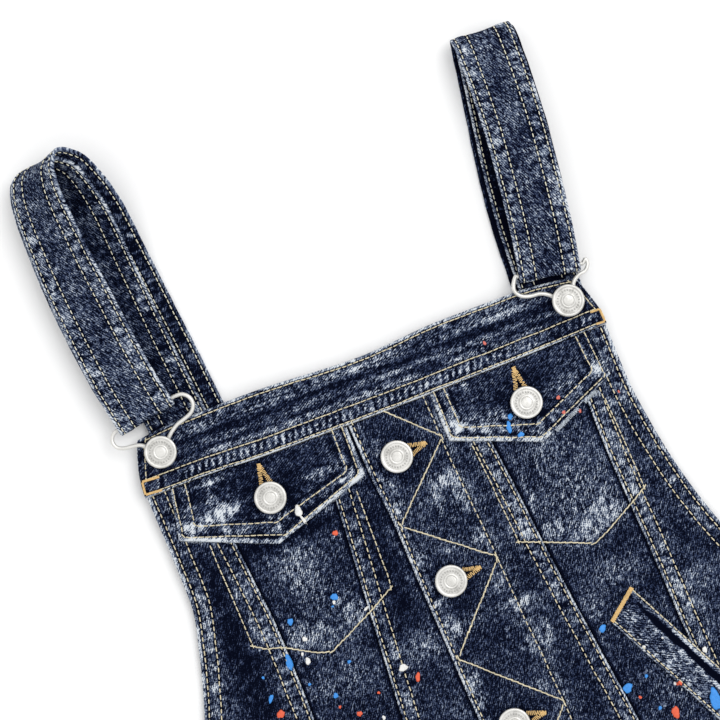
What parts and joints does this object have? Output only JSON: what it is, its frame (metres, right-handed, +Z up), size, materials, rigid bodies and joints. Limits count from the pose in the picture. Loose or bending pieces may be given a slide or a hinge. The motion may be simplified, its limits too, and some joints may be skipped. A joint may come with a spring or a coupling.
{
  "type": "denim dungarees laid flat, spattered with paint",
  "caption": "Denim dungarees laid flat with the bib up, shoulder straps folded forward and hooked on shank buttons, worn seams and specks of paint.",
  "frame": {"origin": "middle of the underside of the whole garment's box, on the surface that it lies on", "axes": "+X across the garment, to the right as seen from the front; +Y from the hems towards the shoulder straps; +Z up, out of the front"},
  "size_m": [0.515, 1.426, 0.0356],
  "materials": {
    "denim": "worn indigo twill, pale along its seams",
    "denim_inside": "dark indigo twill",
    "nickel": "silver white nickel plate, slightly rubbed"
  },
  "bodies": {
    "root": {"back_band": "denim_inside", "back_leg_l": "denim_inside", "back_leg_r": "denim_inside", "back_panel": "denim_inside", "bib_band": "denim", "bib_inner_l": "denim", "bib_inner_r": "denim", "bib_pocket_l": "denim", "bib_pocket_r": "denim", "bib_side_l": "denim", "bib_side_r": "denim", "button_1": "nickel", "button_2": "nickel", "button_3": "nickel", "flap_button_l": "nickel", "flap_button_r": "nickel", "flap_l": "denim", "flap_r": "denim", "front_leg_l": "denim", "front_leg_r": "denim", "hook_l": "nickel", "hook_r": "nickel", "placket": "denim", "strap_button_l": "nickel", "strap_button_r": "nickel", "strap_l": "denim", "strap_r": "denim", "waist_button": "nickel", "waistband_back": "denim_inside", "waistband_front": "denim", "welt_l": "denim", "welt_r": "denim"}
  },
  "joints": []
}
